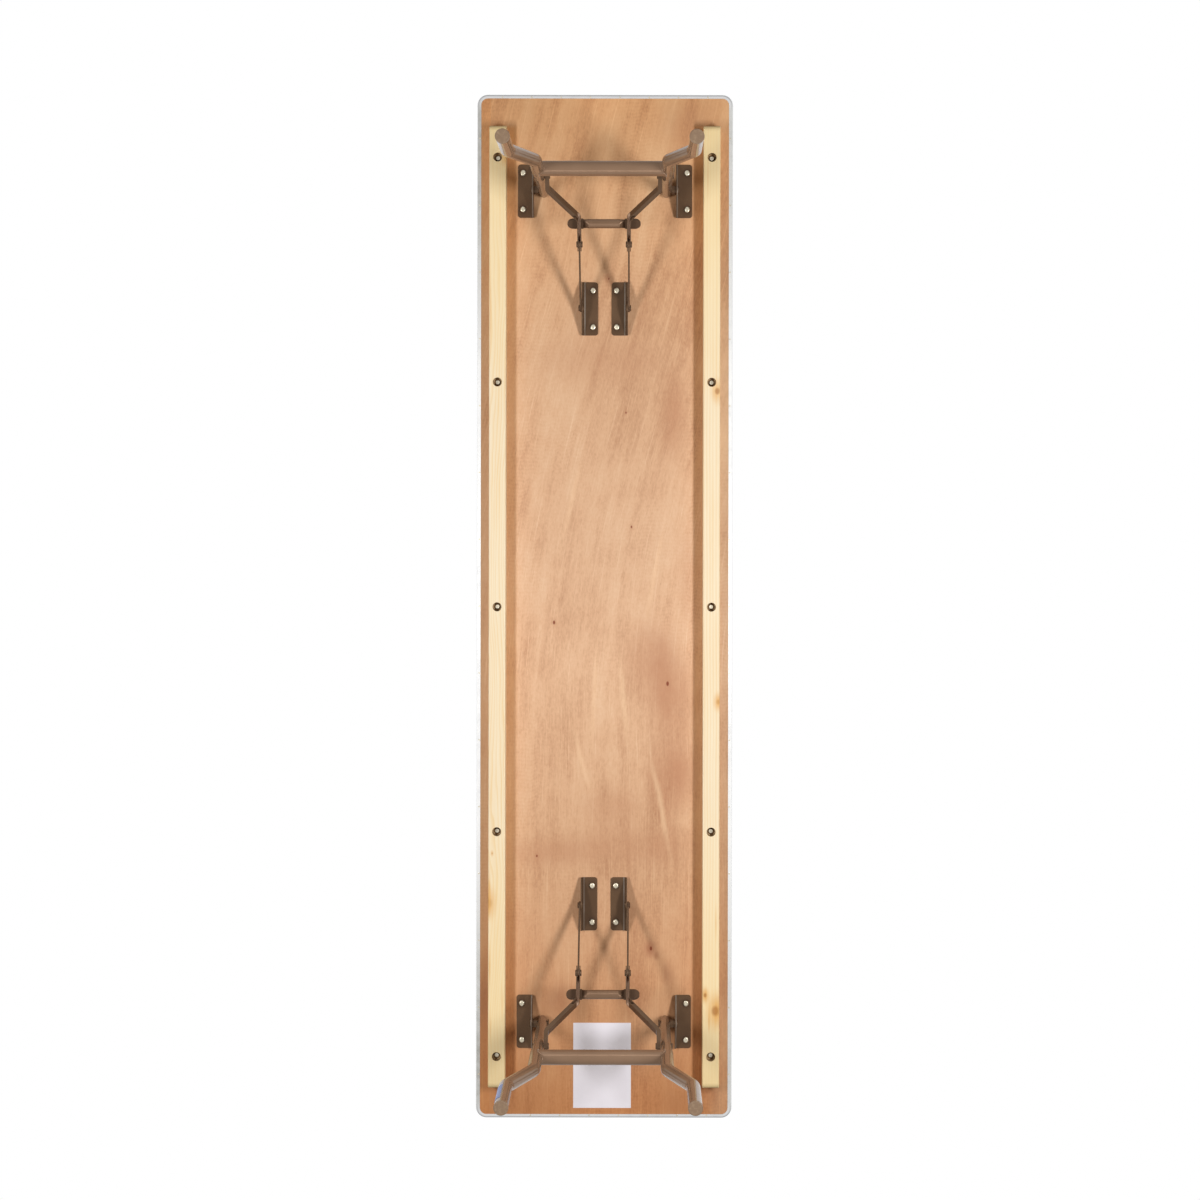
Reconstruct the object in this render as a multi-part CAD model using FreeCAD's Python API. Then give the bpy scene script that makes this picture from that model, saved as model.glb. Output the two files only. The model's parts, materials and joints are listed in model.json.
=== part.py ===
import FreeCAD, Part
import math
import os

# Folding table, 18 by 72 inches: plywood top, pine rails, two wishbone leg frames and their toggle braces.
# Frame: origin on the floor under the middle of the top, X along the length, Y across, Z up, millimetres.
# The table stands on its feet. "right" is the +X end and "back" the +Y side.

# Table top
TABLE_LENGTH = 1828.8
TABLE_WIDTH = 457.2
TABLE_HEIGHT = 762.0
PANEL_THICKNESS = 19.0
CORNER_RADIUS = 19.0

# Aluminium edge moulding, a channel with a slightly bulging outer face, let in flush with the panel
MOULDING_WALL = 1.6
MOULDING_BULGE = 1.4
MOULDING_LIP_REACH = 4.4
MOULDING_LIP = 1.2
MOULDING_FIT = 0.1

# Nails through the lower lip
NAIL_HEAD_DIAMETER = 2.8
NAIL_HEAD_HEIGHT = 0.6
NAIL_DIAMETER = 1.4
NAIL_LENGTH = 12.0
NAIL_FIT = 0.05
NAIL_SIDE_COUNT = 15
NAIL_END_COUNT = 8

# Pine rails on the underside
RAIL_LENGTH = 1708.0
RAIL_WIDTH = 30.0
RAIL_THICKNESS = 38.0
RAIL_EDGE_INSET = 23.6
RAIL_END_ROUND = 10.0
RAIL_EDGE_ROUND = 1.5
RAIL_SCREW_COUNT = 5
RAIL_SCREW_END_INSET = 56.5
COUNTERBORE_DIAMETER = 16.0
COUNTERBORE_DEPTH = 19.0

# Pan-head wood screws
SCREW_HEAD_DIAMETER = 10.5
SCREW_HEAD_HEIGHT = 3.2
SCREW_HEAD_ROUND = 2.2
SCREW_DIAMETER = 4.4
SCREW_POINT = 4.0
SCREW_FIT = 0.05
SCREW_RECESS_LENGTH = 5.0
SCREW_RECESS_WIDTH = 1.1
SCREW_RECESS_DEPTH = 1.6
RAIL_SCREW_LENGTH = 32.0
BRACKET_SCREW_LENGTH = 17.0

# L-shaped stamping used for leg and brace brackets
BRACKET_LENGTH = 95.0
BRACKET_BASE = 29.0
BRACKET_THICKNESS = 2.5
BRACKET_BEND_RADIUS = 2.5
BRACKET_CORNER_RADIUS = 5.0
BRACKET_END_HEIGHT = 9.0
BRACKET_EAR_RADIUS = 13.0
BRACKET_SCREW_PITCH = 65.0
BRACKET_SCREW_EDGE_INSET = 9.0
BRACKET_RAIL_GAP = 19.5
PIVOT_DROP = 22.0

# Leg frames: tubes pressed oval from above the cross tube to the hinge
LEG_TUBE_DIAMETER = 22.2
LEG_TUBE_WALL = 1.4
LEG_BEND_RADIUS = 60.0
LEG_HINGE_END_INSET = 173.4
LEG_TOP_PAST_PIN = 10.0
LEG_BRACKET_GAP = 8.5
LEG_OVAL_WIDTH = 18.0
LEG_OVAL_DEPTH = 25.8
LEG_OVAL_DROP = 266.0
LEG_OVAL_BLEND = 42.0
FOOT_RAIL_GAP = 15.4
CROSS_TUBE_DROP = 337.0
CROSS_TUBE_DIAMETER = 25.4
CROSS_TUBE_END_GAP = 4.0
LEG_UPPER_BEND_DROP = 447.0
LEG_LOWER_BEND_DROP = 577.0
FOOT_CAP_DIAMETER = 23.0
FOOT_CAP_HEIGHT = 5.0
FOOT_CAP_ROUND = 1.2
FOOT_PLUG_LENGTH = 18.0
FOOT_PLUG_FIT = 0.1

# Pivots
LEG_PIN_DIAMETER = 8.0
LEG_PIN_HEAD_DIAMETER = 14.0
LEG_PIN_HEAD_HEIGHT = 2.6
SPACER_DIAMETER = 16.0
BRACE_PIN_DIAMETER = 6.0
BRACE_PIN_HEAD_DIAMETER = 11.0
BRACE_PIN_HEAD_HEIGHT = 2.0
PIN_HEAD_ROUND = 1.2
PIN_FIT = 0.08
SIDE_PLAY = 0.3

# Toggle braces: the pivot distances from the leg hinge, and the links
LEG_ARM = 215.0
TABLE_ARM = 210.0
BRACE_SPREAD = 86.0
LINK_THICKNESS = 3.0
LINK_WIDTH = 14.0
ARM_WIDTH = 7.0
ARM_WALL = 1.5
ARM_DEPTH = 14.0
ARM_LEG_OVERHANG = 9.0
ARM_KNUCKLE_OVERHANG = 14.0
ARM_BEND_RADIUS = 12.0
ARM_FIRST_BEND = 30.0
ARM_SECOND_BEND = 95.0
ARM_CHANNEL_START = 84.0
ARM_END_ROUND = 4.5
BRIDGE_FROM_LEG = 115.0
BRIDGE_DIAMETER = 16.0
BRIDGE_ROUND_LENGTH = 54.0
BRIDGE_NECK = 9.0
BRIDGE_LENGTH = 127.0
BRIDGE_FLAT_WIDTH = 20.0
BRIDGE_FLAT_THICKNESS = 4.0

# Blank paper label under the left end, and the sticker on the left front foot
LABEL_LENGTH = 152.0
LABEL_WIDTH = 103.0
LABEL_THICKNESS = 0.3
LABEL_END_INSET = 18.5
LABEL_SIDE_SHIFT = 3.0
STICKER_HEIGHT = 100.0
STICKER_FLOOR_GAP = 32.0
STICKER_THICKNESS = 0.3
STICKER_FIT = 0.05
STICKER_FIRST_ANGLE = -16.0
STICKER_LAST_ANGLE = -150.0

# How far a cutting tool runs past what it cuts
CUT_OVERRUN = 2.0

# Places worked out from the sizes above
UNDERSIDE = TABLE_HEIGHT - PANEL_THICKNESS
HINGE_Z = UNDERSIDE - PIVOT_DROP
HINGE_X = TABLE_LENGTH / 2 - LEG_HINGE_END_INSET
RAIL_Y = TABLE_WIDTH / 2 - RAIL_EDGE_INSET - RAIL_WIDTH / 2
RAIL_INNER_Y = RAIL_Y - RAIL_WIDTH / 2
LEG_FLANGE_Y = RAIL_INNER_Y - BRACKET_RAIL_GAP - BRACKET_BASE
LEG_RADIUS = LEG_TUBE_DIAMETER / 2
LEG_BORE_RADIUS = LEG_RADIUS - LEG_TUBE_WALL
LEG_Y = LEG_FLANGE_Y - LEG_BRACKET_GAP - LEG_OVAL_WIDTH / 2
FOOT_Y = RAIL_INNER_Y - FOOT_RAIL_GAP - LEG_RADIUS
LEG_INNER_Y = LEG_Y - LEG_OVAL_WIDTH / 2
LEG_OUTER_Y = LEG_Y + LEG_OVAL_WIDTH / 2
LINK_Y = BRACE_SPREAD / 2
BRACE_FLANGE_Y = LINK_Y - LINK_THICKNESS / 2 - SIDE_PLAY
ARM_LEG_Y = LEG_INNER_Y - SIDE_PLAY - ARM_WIDTH / 2
# The brace is straight when the leg is out, and folds flat on itself when the leg is in.
BRACE_LENGTH = math.hypot(LEG_ARM, TABLE_ARM)
ARM_LENGTH = (BRACE_LENGTH + LEG_ARM - TABLE_ARM) / 2
BRACE_TILT = math.degrees(math.atan2(LEG_ARM, TABLE_ARM))
# Depths across the arm, measured from the line through its pivots: open side positive
ARM_WEB_INNER = -LINK_WIDTH / 2 - SIDE_PLAY
ARM_WEB_OUTER = ARM_WEB_INNER - ARM_WALL
ARM_OPEN_EDGE = ARM_WEB_OUTER + ARM_DEPTH
MOULDING_NOSE = MOULDING_WALL + MOULDING_BULGE

ALONG_X = FreeCAD.Vector(1, 0, 0)
ALONG_Y = FreeCAD.Vector(0, 1, 0)
ALONG_Z = FreeCAD.Vector(0, 0, 1)
ORIGIN = FreeCAD.Vector(0, 0, 0)


def point(x, y, z):
    return FreeCAD.Vector(x, y, z)


def block(x_span, y_span, z_span):
    """A box between the two ends of each span."""
    sizes = [high - low for low, high in (x_span, y_span, z_span)]
    return Part.makeBox(*sizes, point(x_span[0], y_span[0], z_span[0]))


def rod(start, end, radius):
    """A round bar between two points."""
    return Part.makeCylinder(radius, start.distanceToPoint(end), start, end - start)


def cross_rod(x, z, y_span, radius):
    """A round bar along Y."""
    return rod(point(x, y_span[0], z), point(x, y_span[1], z), radius)


def edges_along(shape, direction):
    """The straight edges that run along a direction."""
    straight = [edge for edge in shape.Edges if isinstance(edge.Curve, Part.Line)]
    return [edge for edge in straight if abs(abs(edge.Curve.Direction.dot(direction)) - 1) < 1e-6]


def joined(first, *others):
    return first.fuse(list(others)).removeSplitter()


def closed_face(*edges):
    return Part.Face(Part.Wire(Part.__sortEdges__(list(edges))))


def line(start, end):
    return Part.makeLine(start, end)


def arc(start, middle, end):
    return Part.Arc(start, middle, end).toShape()


def spread(count, length):
    """Evenly spaced places, centred on zero, over a length that the end places reach."""
    return [length * (index / (count - 1) - 1 / 2) for index in range(count)]


def rounded_path(points, radius):
    """A wire through the points whose corners are arcs."""
    edges = []
    start = points[0]
    for before, corner, after in zip(points, points[1:], points[2:]):
        towards_before = (before - corner).normalize()
        towards_after = (after - corner).normalize()
        half_angle = towards_before.getAngle(towards_after) / 2
        setback = radius / math.tan(half_angle)
        bisector = (towards_before + towards_after).normalize()
        first = corner + towards_before * setback
        last = corner + towards_after * setback
        middle = corner + bisector * (radius / math.sin(half_angle) - radius)
        edges += [line(start, first), arc(first, middle, last)]
        start = last
    edges.append(line(start, points[-1]))
    return Part.Wire(edges)


def swept(path, profile):
    """A solid with one outline all along a path."""
    return path.makePipeShell([profile], True, False)


def place(shape, end, side):
    """A piece drawn at the right back corner, mirrored to its own corner."""
    if end == "left":
        shape = shape.mirror(ORIGIN, ALONG_X)
    if side == "front":
        shape = shape.mirror(ORIGIN, ALONG_Y)
    return shape


def both_sides(shape, end):
    """The back and the front piece of one end, as a group."""
    return Part.makeCompound([place(shape, end, side) for side in ("back", "front")])


def on_brace(shape):
    """Moves a piece from the brace's own axes to its place at the right end.

    There X runs from the leg pivot to the bracket pivot, and Z points to the arm's open side.
    """
    shape = shape.copy()
    shape.rotate(ORIGIN, ALONG_Y, BRACE_TILT - math.degrees(math.pi))
    shape.translate(point(HINGE_X, 0, HINGE_Z - LEG_ARM))
    return shape


def panel_plate(edge_inset, z_span):
    """A slab with the table's rounded outline, set in from the outermost edge."""
    half_length = TABLE_LENGTH / 2 - edge_inset
    half_width = TABLE_WIDTH / 2 - edge_inset
    slab = block((-half_length, half_length), (-half_width, half_width), z_span)
    return slab.makeFillet(CORNER_RADIUS - edge_inset, edges_along(slab, ALONG_Z))


def nail_places():
    """Where the nails stand, half way along the lip."""
    inset = MOULDING_NOSE + MOULDING_LIP_REACH / 2
    side_y = TABLE_WIDTH / 2 - inset
    end_x = TABLE_LENGTH / 2 - inset
    side_pitch = (TABLE_LENGTH - 2 * CORNER_RADIUS) / NAIL_SIDE_COUNT
    end_pitch = (TABLE_WIDTH - 2 * CORNER_RADIUS) / NAIL_END_COUNT
    side_xs = spread(NAIL_SIDE_COUNT, side_pitch * (NAIL_SIDE_COUNT - 1))
    end_ys = spread(NAIL_END_COUNT, end_pitch * (NAIL_END_COUNT - 1))
    sides = [(x, sign * side_y) for x in side_xs for sign in (-1, 1)]
    ends = [(sign * end_x, y) for y in end_ys for sign in (-1, 1)]
    return sides + ends


def rail_screw_places(sign):
    return [(x, sign * RAIL_Y) for x in spread(RAIL_SCREW_COUNT, RAIL_LENGTH - 2 * RAIL_SCREW_END_INSET)]


def bracket_screw_places(x, y):
    return [(x + step, y) for step in (-BRACKET_SCREW_PITCH / 2, BRACKET_SCREW_PITCH / 2)]


def leg_bracket_screw_places():
    y = LEG_FLANGE_Y + BRACKET_BASE - BRACKET_SCREW_EDGE_INSET
    corners = [(end * HINGE_X, side * y) for end in (-1, 1) for side in (-1, 1)]
    return [spot for corner in corners for spot in bracket_screw_places(*corner)]


def brace_bracket_screw_places():
    x = HINGE_X - TABLE_ARM
    y = BRACE_FLANGE_Y - BRACKET_BASE + BRACKET_SCREW_EDGE_INSET
    corners = [(end * x, side * y) for end in (-1, 1) for side in (-1, 1)]
    return [spot for corner in corners for spot in bracket_screw_places(*corner)]


def upright_holes(places, radius, z_span):
    return [rod(point(x, y, z_span[0]), point(x, y, z_span[1]), radius) for x, y in places]


def plywood_panel():
    core_z = (UNDERSIDE + MOULDING_LIP, TABLE_HEIGHT - MOULDING_LIP)
    core = panel_plate(MOULDING_NOSE + MOULDING_FIT, core_z)
    face_inset = MOULDING_NOSE + MOULDING_LIP_REACH + MOULDING_FIT
    panel = joined(core, panel_plate(face_inset, (UNDERSIDE, TABLE_HEIGHT)))
    below = UNDERSIDE - CUT_OVERRUN
    nail_top = UNDERSIDE + NAIL_LENGTH + NAIL_FIT
    rail_screw_top = UNDERSIDE - RAIL_THICKNESS + COUNTERBORE_DEPTH + RAIL_SCREW_LENGTH + SCREW_FIT
    bracket_screw_top = UNDERSIDE - BRACKET_THICKNESS + BRACKET_SCREW_LENGTH + SCREW_FIT
    screw_radius = SCREW_DIAMETER / 2 + SCREW_FIT
    rail_places = rail_screw_places(-1) + rail_screw_places(1)
    bracket_places = leg_bracket_screw_places() + brace_bracket_screw_places()
    holes = upright_holes(nail_places(), NAIL_DIAMETER / 2 + NAIL_FIT, (below, nail_top))
    holes += upright_holes(rail_places, screw_radius, (below, rail_screw_top))
    holes += upright_holes(bracket_places, screw_radius, (below, bracket_screw_top))
    return panel.cut(holes)


def moulding_section():
    """The channel's outline at the middle of the left end, where outwards is -X."""
    half = PANEL_THICKNESS / 2
    middle_z = UNDERSIDE + half
    root_x = -TABLE_LENGTH / 2 + MOULDING_NOSE

    def at(outwards, up):
        return point(root_x - outwards, 0, middle_z + up)

    inner = half - MOULDING_LIP
    corners = [
        at(MOULDING_WALL, half),
        at(-MOULDING_LIP_REACH, half),
        at(-MOULDING_LIP_REACH, inner),
        at(0, inner),
        at(0, -inner),
        at(-MOULDING_LIP_REACH, -inner),
        at(-MOULDING_LIP_REACH, -half),
        at(MOULDING_WALL, -half),
    ]
    edges = [line(start, end) for start, end in zip(corners, corners[1:])]
    edges.append(arc(corners[-1], at(MOULDING_NOSE, 0), corners[0]))
    return Part.Wire(edges)


def edge_moulding():
    """The back half, from the middle of one end round to the middle of the other."""
    x = TABLE_LENGTH / 2 - MOULDING_NOSE
    y = TABLE_WIDTH / 2 - MOULDING_NOSE
    z = UNDERSIDE + PANEL_THICKNESS / 2
    corners = [point(-x, 0, z), point(-x, y, z), point(x, y, z), point(x, 0, z)]
    half = swept(rounded_path(corners, CORNER_RADIUS - MOULDING_NOSE), moulding_section())
    lip_z = (UNDERSIDE - CUT_OVERRUN, UNDERSIDE + MOULDING_LIP + CUT_OVERRUN)
    places = [spot for spot in nail_places() if spot[1] > 0]
    return half.cut(upright_holes(places, NAIL_DIAMETER / 2 + NAIL_FIT, lip_z))


def nail(x, y):
    head = rod(point(x, y, UNDERSIDE - NAIL_HEAD_HEIGHT), point(x, y, UNDERSIDE), NAIL_HEAD_DIAMETER / 2)
    shank = rod(point(x, y, UNDERSIDE), point(x, y, UNDERSIDE + NAIL_LENGTH), NAIL_DIAMETER / 2)
    return joined(head, shank)


def rail():
    """The back rail, with its lower end edges rounded over and counterbored screw holes."""
    low = UNDERSIDE - RAIL_THICKNESS
    half = RAIL_LENGTH / 2
    y_span = (RAIL_Y - RAIL_WIDTH / 2, RAIL_Y + RAIL_WIDTH / 2)
    bar = block((-half, half), y_span, (low, UNDERSIDE))
    lower_ends = [edge for edge in edges_along(bar, ALONG_Y) if edge.CenterOfMass.z < UNDERSIDE - RAIL_END_ROUND]
    bar = bar.makeFillet(RAIL_END_ROUND, lower_ends)
    lower_sides = [edge for edge in edges_along(bar, ALONG_X) if edge.CenterOfMass.z < UNDERSIDE - RAIL_END_ROUND]
    bar = bar.makeFillet(RAIL_EDGE_ROUND, lower_sides)
    places = rail_screw_places(1)
    seat = low + COUNTERBORE_DEPTH
    holes = upright_holes(places, COUNTERBORE_DIAMETER / 2, (low - CUT_OVERRUN, seat))
    holes += upright_holes(places, SCREW_DIAMETER / 2 + SCREW_FIT, (seat, UNDERSIDE + CUT_OVERRUN))
    return bar.cut(holes)


def pan_screw(x, y, seat_z, length):
    """A screw that points up, with its head under the seat."""
    head_low = seat_z - SCREW_HEAD_HEIGHT
    head = rod(point(x, y, head_low), point(x, y, seat_z), SCREW_HEAD_DIAMETER / 2)
    rim = [edge for edge in head.Edges if abs(edge.CenterOfMass.z - head_low) < SCREW_FIT and edge.Closed]
    head = head.makeFillet(SCREW_HEAD_ROUND, rim)
    point_z = seat_z + length
    shank = rod(point(x, y, seat_z), point(x, y, point_z - SCREW_POINT), SCREW_DIAMETER / 2)
    tip = Part.makeCone(SCREW_DIAMETER / 2, 0, SCREW_POINT, point(x, y, point_z - SCREW_POINT))
    z_span = (head_low - CUT_OVERRUN, head_low + SCREW_RECESS_DEPTH)
    long_half = SCREW_RECESS_LENGTH / 2
    short_half = SCREW_RECESS_WIDTH / 2
    slots = [
        block((x - long_half, x + long_half), (y - short_half, y + short_half), z_span),
        block((x - short_half, x + short_half), (y - long_half, y + long_half), z_span),
    ]
    return joined(head, shank, tip).cut(slots)


def screw_group(places, seat_z, length):
    return Part.makeCompound([pan_screw(x, y, seat_z, length) for x, y in places])


def bracket_ear_outline():
    """The stamping seen from the side: a long strip with a rounded ear round the pivot."""
    half = BRACKET_LENGTH / 2
    corner = point(half, 0, -BRACKET_END_HEIGHT)
    centre = point(0, 0, -PIVOT_DROP)
    outwards = corner - centre
    lean = math.atan2(outwards.z, outwards.x) - math.acos(BRACKET_EAR_RADIUS / outwards.Length)
    across = BRACKET_EAR_RADIUS * math.cos(lean)
    down = BRACKET_EAR_RADIUS * math.sin(lean)
    right = centre + point(across, 0, down)
    left = centre + point(-across, 0, down)
    bottom = centre - point(0, 0, BRACKET_EAR_RADIUS)
    far_corner = point(-half, 0, -BRACKET_END_HEIGHT)
    return closed_face(
        line(point(-half, 0, 0), point(half, 0, 0)),
        line(point(half, 0, 0), corner),
        line(corner, right),
        arc(right, bottom, left),
        line(left, far_corner),
        line(far_corner, point(-half, 0, 0)),
    )


def bracket_profile():
    """The L seen from the end, with its bend."""
    outer = BRACKET_BEND_RADIUS + BRACKET_THICKNESS
    low = -PIVOT_DROP - BRACKET_EAR_RADIUS - CUT_OVERRUN
    x = -BRACKET_LENGTH / 2

    def at(y, z):
        return point(x, y, z)

    def on_bend(radius):
        offset = outer - radius * math.sqrt(1 / 2)
        return at(offset, -offset)

    return closed_face(
        line(at(outer, 0), at(BRACKET_BASE, 0)),
        line(at(BRACKET_BASE, 0), at(BRACKET_BASE, -BRACKET_THICKNESS)),
        line(at(BRACKET_BASE, -BRACKET_THICKNESS), at(outer, -BRACKET_THICKNESS)),
        arc(at(outer, -BRACKET_THICKNESS), on_bend(BRACKET_BEND_RADIUS), at(BRACKET_THICKNESS, -outer)),
        line(at(BRACKET_THICKNESS, -outer), at(BRACKET_THICKNESS, low)),
        line(at(BRACKET_THICKNESS, low), at(0, low)),
        line(at(0, low), at(0, -outer)),
        arc(at(0, -outer), on_bend(outer), at(outer, 0)),
    )


def bracket(pin_diameter):
    """The stamping in its own axes: pivot at X = 0, base from the flange towards +Y, top at Z = 0."""
    angle = bracket_profile().extrude(point(BRACKET_LENGTH, 0, 0))
    shape = angle.common(bracket_ear_outline().extrude(point(0, BRACKET_BASE, 0)))
    free_y = BRACKET_BASE - BRACKET_THICKNESS
    corners = [edge for edge in edges_along(shape, ALONG_Z) if edge.CenterOfMass.y > free_y]
    shape = shape.makeFillet(BRACKET_CORNER_RADIUS, corners)
    screw_y = BRACKET_BASE - BRACKET_SCREW_EDGE_INSET
    z_span = (-BRACKET_THICKNESS - CUT_OVERRUN, CUT_OVERRUN)
    holes = upright_holes(bracket_screw_places(0, screw_y), SCREW_DIAMETER / 2 + SCREW_FIT, z_span)
    pin_span = (-CUT_OVERRUN, BRACKET_THICKNESS + CUT_OVERRUN)
    holes.append(cross_rod(0, -PIVOT_DROP, pin_span, pin_diameter / 2 + PIN_FIT))
    return shape.cut(holes)


def leg_bracket():
    shape = bracket(LEG_PIN_DIAMETER)
    shape.translate(point(HINGE_X, LEG_FLANGE_Y, UNDERSIDE))
    return shape


def brace_bracket():
    shape = bracket(BRACE_PIN_DIAMETER)
    shape = shape.mirror(ORIGIN, ALONG_Y)
    shape.translate(point(HINGE_X - TABLE_ARM, BRACE_FLANGE_Y, UNDERSIDE))
    return shape


def rivet_head(x, z, y, outwards, diameter, height):
    """A domed head that stands on the plane at y, towards +Y or -Y."""
    crown = y + outwards * height
    head = cross_rod(x, z, (min(y, crown), max(y, crown)), diameter / 2)
    rim = [edge for edge in head.Edges if edge.Closed and abs(edge.CenterOfMass.y - crown) < PIN_FIT]
    return head.makeFillet(PIN_HEAD_ROUND, rim)


def leg_rivet():
    """The hinge pin, held in the bracket, with a head on each side."""
    inner = LEG_INNER_Y - SIDE_PLAY
    outer = LEG_FLANGE_Y + BRACKET_THICKNESS
    shank = cross_rod(HINGE_X, HINGE_Z, (inner, outer), LEG_PIN_DIAMETER / 2)
    sizes = (LEG_PIN_HEAD_DIAMETER, LEG_PIN_HEAD_HEIGHT)
    heads = [rivet_head(HINGE_X, HINGE_Z, inner, -1, *sizes), rivet_head(HINGE_X, HINGE_Z, outer, 1, *sizes)]
    return joined(shank, *heads)


def leg_spacer():
    """The collar on the hinge pin between leg and bracket."""
    y_span = (LEG_OUTER_Y + SIDE_PLAY, LEG_FLANGE_Y)
    collar = cross_rod(HINGE_X, HINGE_Z, y_span, SPACER_DIAMETER / 2)
    bore_span = (y_span[0] - CUT_OVERRUN, y_span[1] + CUT_OVERRUN)
    return collar.cut(cross_rod(HINGE_X, HINGE_Z, bore_span, LEG_PIN_DIAMETER / 2 + PIN_FIT))


def leg_path(end_overrun):
    """The centre line of the leg's round part, from the start of the oval down to the foot cap."""
    corners = [
        point(HINGE_X, LEG_Y, UNDERSIDE - LEG_OVAL_DROP - LEG_OVAL_BLEND),
        point(HINGE_X, LEG_Y, UNDERSIDE - LEG_UPPER_BEND_DROP),
        point(HINGE_X, FOOT_Y, UNDERSIDE - LEG_LOWER_BEND_DROP),
        point(HINGE_X, FOOT_Y, FOOT_CAP_HEIGHT - end_overrun),
    ]
    return rounded_path(corners, LEG_BEND_RADIUS)


def leg_solid(inset, end_overrun):
    """The leg filled in, its surface set in from the outside: a round part, a blend, and an oval at the top."""
    path = leg_path(end_overrun)
    blend_low = path.Vertexes[0].Point
    blend_high = point(HINGE_X, LEG_Y, UNDERSIDE - LEG_OVAL_DROP)
    top = HINGE_Z + LEG_TOP_PAST_PIN + end_overrun
    ring = Part.Wire(Part.makeCircle(LEG_RADIUS - inset, blend_low, ALONG_Z))
    long_end = blend_high + point(LEG_OVAL_DEPTH / 2 - inset, 0, 0)
    short_end = blend_high + point(0, LEG_OVAL_WIDTH / 2 - inset, 0)
    oval = Part.Wire(Part.Ellipse(long_end, short_end, blend_high).toShape())
    oval_length = point(0, 0, top - blend_high.z)
    return joined(swept(path, ring), Part.makeLoft([ring, oval], True), Part.Face(oval).extrude(oval_length))


def leg_tube():
    tube = leg_solid(0, 0).cut(leg_solid(LEG_TUBE_WALL, CUT_OVERRUN))
    y_span = (LEG_INNER_Y - CUT_OVERRUN, LEG_OUTER_Y + CUT_OVERRUN)
    hinge_hole = cross_rod(HINGE_X, HINGE_Z, y_span, LEG_PIN_DIAMETER / 2 + PIN_FIT)
    stud_hole = cross_rod(HINGE_X, HINGE_Z - LEG_ARM, y_span, BRACE_PIN_DIAMETER / 2 + PIN_FIT)
    return tube.cut([hinge_hole, stud_hole])


def cross_tube():
    """The tube between the legs, its ends shaped to sit on them."""
    z = UNDERSIDE - CROSS_TUBE_DROP
    half_length = LEG_Y - CROSS_TUBE_END_GAP
    radius = CROSS_TUBE_DIAMETER / 2
    bar = cross_rod(HINGE_X, z, (-half_length, half_length), radius)
    bore = cross_rod(HINGE_X, z, (-LEG_Y, LEG_Y), radius - LEG_TUBE_WALL)
    leg_z = (z - CROSS_TUBE_DIAMETER, z + CROSS_TUBE_DIAMETER)
    legs = [rod(point(HINGE_X, y, leg_z[0]), point(HINGE_X, y, leg_z[1]), LEG_RADIUS) for y in (-LEG_Y, LEG_Y)]
    return bar.cut(legs + [bore])


def foot_cap():
    """A flat plastic foot with a plug that fits in the tube."""
    foot = rod(point(HINGE_X, FOOT_Y, 0), point(HINGE_X, FOOT_Y, FOOT_CAP_HEIGHT), FOOT_CAP_DIAMETER / 2)
    rims = [edge for edge in foot.Edges if edge.Closed and edge.CenterOfMass.z < FOOT_CAP_HEIGHT / 2]
    foot = foot.makeFillet(FOOT_CAP_ROUND, rims)
    plug_top = FOOT_CAP_HEIGHT + FOOT_PLUG_LENGTH
    plug_radius = LEG_BORE_RADIUS - FOOT_PLUG_FIT
    plug = rod(point(HINGE_X, FOOT_Y, FOOT_CAP_HEIGHT), point(HINGE_X, FOOT_Y, plug_top), plug_radius)
    return joined(foot, plug)


def arm_stud():
    """The leg's half of the brace pivot, flush with the tube where the arm lies against it."""
    z = HINGE_Z - LEG_ARM
    shank = cross_rod(HINGE_X, z, (LEG_INNER_Y, LEG_OUTER_Y), BRACE_PIN_DIAMETER / 2)
    head = rivet_head(HINGE_X, z, LEG_OUTER_Y, 1, BRACE_PIN_HEAD_DIAMETER, BRACE_PIN_HEAD_HEIGHT)
    return joined(shank, head)


def upper_link():
    """The flat bar from the bracket pivot to the knuckle, in the brace's own axes."""
    y_span = (LINK_Y - LINK_THICKNESS / 2, LINK_Y + LINK_THICKNESS / 2)
    ends = (ARM_LENGTH, BRACE_LENGTH)
    bar = block(ends, y_span, (-LINK_WIDTH / 2, LINK_WIDTH / 2))
    bar = joined(bar, *[cross_rod(x, 0, y_span, LINK_WIDTH / 2) for x in ends])
    hole_span = (y_span[0] - CUT_OVERRUN, y_span[1] + CUT_OVERRUN)
    return bar.cut([cross_rod(x, 0, hole_span, BRACE_PIN_DIAMETER / 2 + PIN_FIT) for x in ends])


def arm_bar(width, z_span, end_overrun):
    """A bar of box section that follows the arm from the leg pivot to past the knuckle."""
    start = -ARM_LEG_OVERHANG - end_overrun
    stop = ARM_LENGTH + ARM_KNUCKLE_OVERHANG + end_overrun
    corners = [
        point(start, ARM_LEG_Y, 0),
        point(ARM_FIRST_BEND, ARM_LEG_Y, 0),
        point(ARM_SECOND_BEND, LINK_Y, 0),
        point(stop, LINK_Y, 0),
    ]
    inner_y = ARM_LEG_Y - width / 2
    outer_y = ARM_LEG_Y + width / 2
    outline = Part.makePolygon([
        point(start, inner_y, z_span[0]),
        point(start, outer_y, z_span[0]),
        point(start, outer_y, z_span[1]),
        point(start, inner_y, z_span[1]),
        point(start, inner_y, z_span[0]),
    ])
    return swept(rounded_path(corners, ARM_BEND_RADIUS), outline)


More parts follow.
